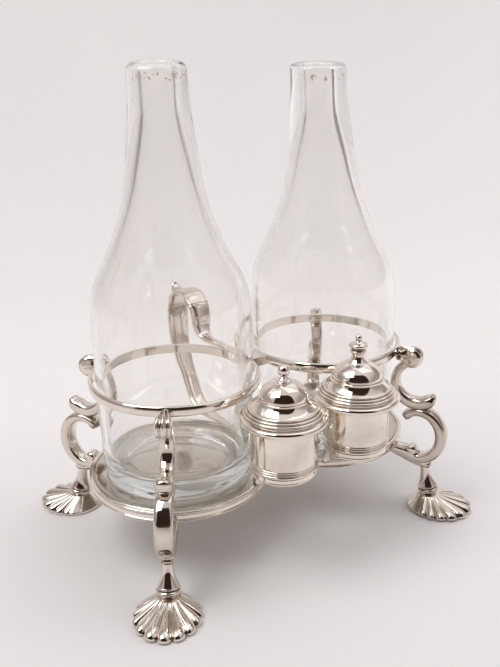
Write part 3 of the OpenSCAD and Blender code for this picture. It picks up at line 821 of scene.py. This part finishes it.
def finial(i):
    """The left cap has a plain ball on a collar, the right one a taller turned baluster."""
    ball = np.vstack([
        [[0.02, -0.6], [2.6, -0.6], [3.1, -0.1]],
        arc((2.75, 0.35), 0.42, -45, 80, 5),
        [[2.2, 1.0], [1.7, 1.5], [1.25, 2.0], [1.2, 2.4]],
        arc((0, 4.5), 2.5, -58, 89, 24),
    ])
    baluster = np.vstack([
        [[0.02, -0.9], [4.4, -0.9], [4.5, -0.3], [3.7, 0.4], [2.95, 1.4], [2.6, 2.7], [2.85, 3.8]],
        arc((2.85, 4.75), 0.58, -70, 75, 6),
        [[2.3, 5.6], [2.45, 6.2]],
        arc((3.1, 7.2), 0.85, -75, 70, 8),
        [[2.3, 8.3], [1.3, 8.9], [1.1, 9.2]],
        arc((0, 10.3), 1.5, -42, 89, 16),
    ])
    profile = soften((ball, baluster)[i], 0.08)
    knob = lathe(f"knob_{SIDES[i]}", profile, CAPS, at_cap(i, CAP_Z + 17), 72)
    hand_in(knob, f"cap_{SIDES[i]}", [f"finial_{SIDES[i]}"])


# ---- Bottles ----

# What the hand-made pair doesn't share: how far the mouth leans, how much lower the shoulder sits,
# radius of the neck, slope of the mouth down toward the viewer, seed of the uneven wall, extra height,
# radius of the lip's rounding, radius of the bore
BOTTLES = (
    {"lean": 1.8, "drop": 0.0, "neck": 11.8, "tilt": 0.07,
     "seed": 2.0, "taller": 2.3, "lip": 3.2, "bore": 6.3},
    {"lean": 4.4, "drop": 2.4, "neck": 12.3, "tilt": 0.08,
     "seed": 9.0, "taller": 0.0, "lip": 1.7, "bore": 5.8},
)
# Direction in plan in which both necks lean: to the left as the stand is seen in the photograph
LEAN_TO = np.array([-0.845, 0.535])


def bottle_profile(b, top):
    """Outline from below the base up the outside, over the lip and down to the floor inside."""
    r, drop, neck, bore, lip = BOTTLE_R, b["drop"], b["neck"], b["bore"], b["lip"]
    heel_r = r - 1.6
    # Shoulder: height, then how far the outside and the inside stand in from the body's radius
    shoulder = [(68, 0, 2.8), (79, 0.6, 3.5), (87, 3, 6.1), (95.5, 7.2, 10.4), (104.5, 11.3, 14.6),
                (114, 14.8, 18.4), (124, 17.4, 21.6), (136, 19.3, 24.4)]
    outer = [[heel_r, 3], [r - 0.9, 13], [r - 0.3, 32], [r, 52]]
    outer += [[r - outside, z - drop] for z, outside, inside in shoulder]
    outer += [[neck + 0.9, top - 21], [neck + 0.2, top - 11], [neck, top - lip]]
    inner = [[bore, top - 1.4], [bore, top - 16], [bore + 0.7, top - 24]]
    inner += [[r - inside, z - drop] for z, outside, inside in reversed(shoulder)]
    inner += [[r - 2.8, 52], [r - 3.1, 32], [r - 3.7, 14], [r - 5.6, 8.6], [r - 9.6, 7.5]]
    inner += [[14, 8.3], [0.05, 8.6]]
    return np.vstack([
        [[0.05, 2.7]],
        spline([[3, 2.6], [12, 2.2], [20, 1.1], [23.4, 0.2]], 6),
        arc((heel_r - 3, 3), 3, -100, -12, 8),
        spline(outer, 14)[2:],
        arc((neck - lip, top - lip), lip, 6, 90, 10),
        arc((bore + 1.2, top - 1.2), 1.2, 92, 172, 7),
        spline(inner, 12),
    ])


def bottle(i):
    b = BOTTLES[i]
    top = BOTTLE_H + b["taller"]

    def blown(rows, angle):
        """Waves in the wall, a tilted mouth, and a neck that leans."""
        z = rows[:, :, 2]
        size = np.hypot(rows[:, :, 0], rows[:, :, 1])
        wave = 0.30 * np.sin(2 * angle + b["seed"] + z * 0.02)
        wave += 0.16 * np.sin(3 * angle + 1.7 * b["seed"] - z * 0.035)
        near_base = np.clip((z - 6) / 30, 0.1, 1)
        scale = 1 + wave * np.clip(size / 60, 0, 0.35) / np.maximum(size, 1) * near_base
        rows[:, :, :2] *= scale[:, :, None]
        rise = np.clip((z - 55) / (top - 55), 0, 1)
        shift = b["lean"] * rise ** 1.6
        back = rows[:, :, 0] * LEAN_TO[1] - rows[:, :, 1] * LEAN_TO[0]
        rows[:, :, 2] += b["tilt"] * back * np.clip((z - top + 14) / 14, 0, 1) ** 2
        rows[:, :, :2] += shift[:, :, None] * LEAN_TO
        return rows

    vessel = lathe(f"glass_{SIDES[i]}", bottle_profile(b, top), GLASS, at_bottle(i, BOTTLE_Z), 176, blown)
    gilt_flecks(vessel, i)
    hand_in(vessel, f"bottle_{SIDES[i]}_body", [f"bottle_{SIDES[i]}"])


def gilt_flecks(vessel, i):
    """Turns small patches of a worn band near the lip to gilt, on the outside and at the front only."""
    vessel.data.materials.append(GILT)
    top = BOTTLE_Z + BOTTLE_H + BOTTLES[i]["taller"]
    for face in vessel.data.polygons:
        c = face.center / MM
        in_band = 3.8 < top - c.z < 6.4
        outside = math.hypot(c.x - BOTTLE_X * SIGN[i], c.y - ROW_Y) > 9
        if in_band and outside and c.y < ROW_Y:
            left = noise.noise(Vector((c.x * 0.9, c.y * 0.9, c.z * 0.9 + BOTTLES[i]["seed"])))
            if left > 0.26:
                face.material_index = 1


# ---- Build ----

tray()
handle()
for i in range(2):
    bottle_ring(i)
    cap_holder(i)
    holder_arm(i)
    cap_dome(i)
    cap_sleeve(i)
    finial(i)
    bottle(i)
for i in range(4):
    leaf_knuckle(i)
    upper_c(i)
    lower_c(i)
    arm(i)
    scroll_knob(i)
    foot_pillar(i)
    shell(i)
    rosette(i)

# The saddle between the rings keeps its CAD mesh
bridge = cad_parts["ring_bridge"]
bridge.data.materials.clear()
bridge.data.materials.append(SHEET)


# ---- Table, light and camera, in metres ----

# How far the photographer stands round to the left of the stand's front
VIEW_YAW = math.radians(32.36)


def table_sweep():
    """Pale table that curves up into the background, square to the view."""
    bend, far = 0.45, 0.75
    line = [(-1.6, 0.0), (-0.6, 0.0), (far - bend, 0.0)]
    line += [(far - bend + bend * math.sin(a), bend - bend * math.cos(a))
             for a in np.linspace(0.06, math.pi / 2, 24)]
    line += [(far, 2.4)]
    width = np.linspace(-2.2, 2.2, 12)
    c, s = math.cos(-VIEW_YAW), math.sin(-VIEW_YAW)
    points = [((x * c - y * s) / MM, (x * s + y * c) / MM, z / MM) for y, z in line for x in width]
    m = len(width)
    faces = [(j * m + k, j * m + k + 1, (j + 1) * m + k + 1, (j + 1) * m + k)
             for j in range(len(line) - 1) for k in range(m - 1)]
    make_object("table", points, faces, TABLE_WHITE)


def soft_light(name, place, aim, size, power, colour, mirrored=True):
    """Area light that isn't seen through glass, and in silver only where `mirrored`."""
    lamp = bpy.data.lights.new(name, "AREA")
    lamp.shape = "RECTANGLE"
    lamp.size, lamp.size_y = size
    lamp.energy = power
    lamp.color = colour
    obj = bpy.data.objects.new(name, lamp)
    bpy.context.scene.collection.objects.link(obj)
    obj.location = place
    obj.rotation_euler = (Vector(aim) - Vector(place)).to_track_quat("-Z", "Y").to_euler()
    obj.visible_transmission = False
    obj.visible_glossy = mirrored


def dark_opening(nodes, x, y, z):
    """How dark a direction is: 1 inside an arched opening on the viewer's side, where y is negative."""
    ahead = nodes.larger(nodes.times(y, -1.0), 0.001)
    side = nodes.math("DIVIDE", nodes.math("ABSOLUTE", x), ahead)
    front = nodes.range(y, -0.02, 0.02, 1.0, 0.0)
    narrow = nodes.range(side, 1.02, 1.14, 1.0, 0.0)
    above = nodes.range(z, 0.02, 0.04, 0.0, 1.0)
    arch = nodes.math("ADD", z, nodes.times(nodes.math("POWER", side, 4.0), 0.10))
    below = nodes.range(arch, 0.88, 0.93, 1.0, 0.0)
    return nodes.times(nodes.times(front, narrow), nodes.times(above, below))


def surroundings():
    """White studio with greyer side walls and one dark opening, turned to the view."""
    world = bpy.data.worlds.new("studio")
    bpy.context.scene.world = world
    world.use_nodes = True
    nodes = Nodes(world.node_tree)
    output = nodes.new("ShaderNodeOutputWorld")
    where = nodes.new("ShaderNodeTexCoord").outputs["Generated"]
    turned = nodes.new("ShaderNodeVectorRotate", {"rotation_type": "Z_AXIS"}, Vector=where, Angle=VIEW_YAW)
    x, y, z = nodes.new("ShaderNodeSeparateXYZ", Vector=turned.outputs["Vector"]).outputs
    path = nodes.new("ShaderNodeLightPath")
    through = path.outputs["Is Transmission Ray"]

    bright = nodes.ramp(z, [(0.0, (0.76, 0.63, 0.60)), (0.22, (0.78, 0.69, 0.67)),
                            (0.55, (0.75, 0.71, 0.72)), (0.9, (0.86, 0.84, 0.86))])
    beside = nodes.range(nodes.math("ABSOLUTE", x), 0.62, 0.95, 0.0, 1.0)
    wall = nodes.times(beside, nodes.range(z, 0.35, 0.75, 1.0, 0.0))
    shade = nodes.times(wall, nodes.range(through, 0, 1, 0.62, 0.74))
    walls = nodes.mix_colours(shade, bright, (0.24, 0.21, 0.21, 1))

    # The opening is hidden from the camera and from rays through glass
    hidden = nodes.larger(through, path.outputs["Is Camera Ray"])
    dark = nodes.times(dark_opening(nodes, x, y, z), nodes.math("SUBTRACT", 1.0, hidden))
    room = nodes.mix_colours(dark, walls, (0.038, 0.024, 0.018, 1))
    sky = nodes.new("ShaderNodeBackground", Color=room, Strength=0.86)
    nodes.put(output, "Surface", sky.outputs[0])


def photographers_view():
    """Camera in the fitted place, in millimetres; the row's place is the frame's."""
    yaw, pitch, roll = -VIEW_YAW, math.radians(19.839), math.radians(-0.612)
    ahead = Vector((-math.sin(yaw) * math.cos(pitch), math.cos(yaw) * math.cos(pitch), -math.sin(pitch)))
    right = Vector((math.cos(yaw), math.sin(yaw), 0))
    up = right.cross(ahead)
    right, up = right * math.cos(roll) + up * math.sin(roll), up * math.cos(roll) - right * math.sin(roll)
    camera = bpy.data.cameras.new("camera")
    camera.sensor_width = 36
    camera.lens = 43.08
    camera.clip_start = 0.02
    obj = bpy.data.objects.new("camera", camera)
    bpy.context.scene.collection.objects.link(obj)
    place = Vector((-182.964, -286.91 + ROW_Y, 211.527)) * MM
    turn = Matrix((right, up, -ahead)).transposed().to_4x4()
    obj.matrix_world = Matrix.Translation(place) @ turn
    bpy.context.scene.camera = obj


table_sweep()
surroundings()
soft_light("overhead", (0.46, 0.06, 0.95), (0, 0, 0), (0.8, 0.8), 1.2, (0.94, 0.99, 1.0))
soft_light("back_wash", (-0.55, 0.10, 0.9), (-0.1, 0.7, 0.3), (0.7, 0.7), 6.4, (0.97, 1.0, 0.985))
soft_light("side_box", (0.95, -0.30, 0.48), (0.05, -0.05, 0.0), (1.2, 1.0), 7.0, (0.96, 0.985, 0.98), False)
photographers_view()
bpy.context.scene.view_settings.view_transform = "Standard"
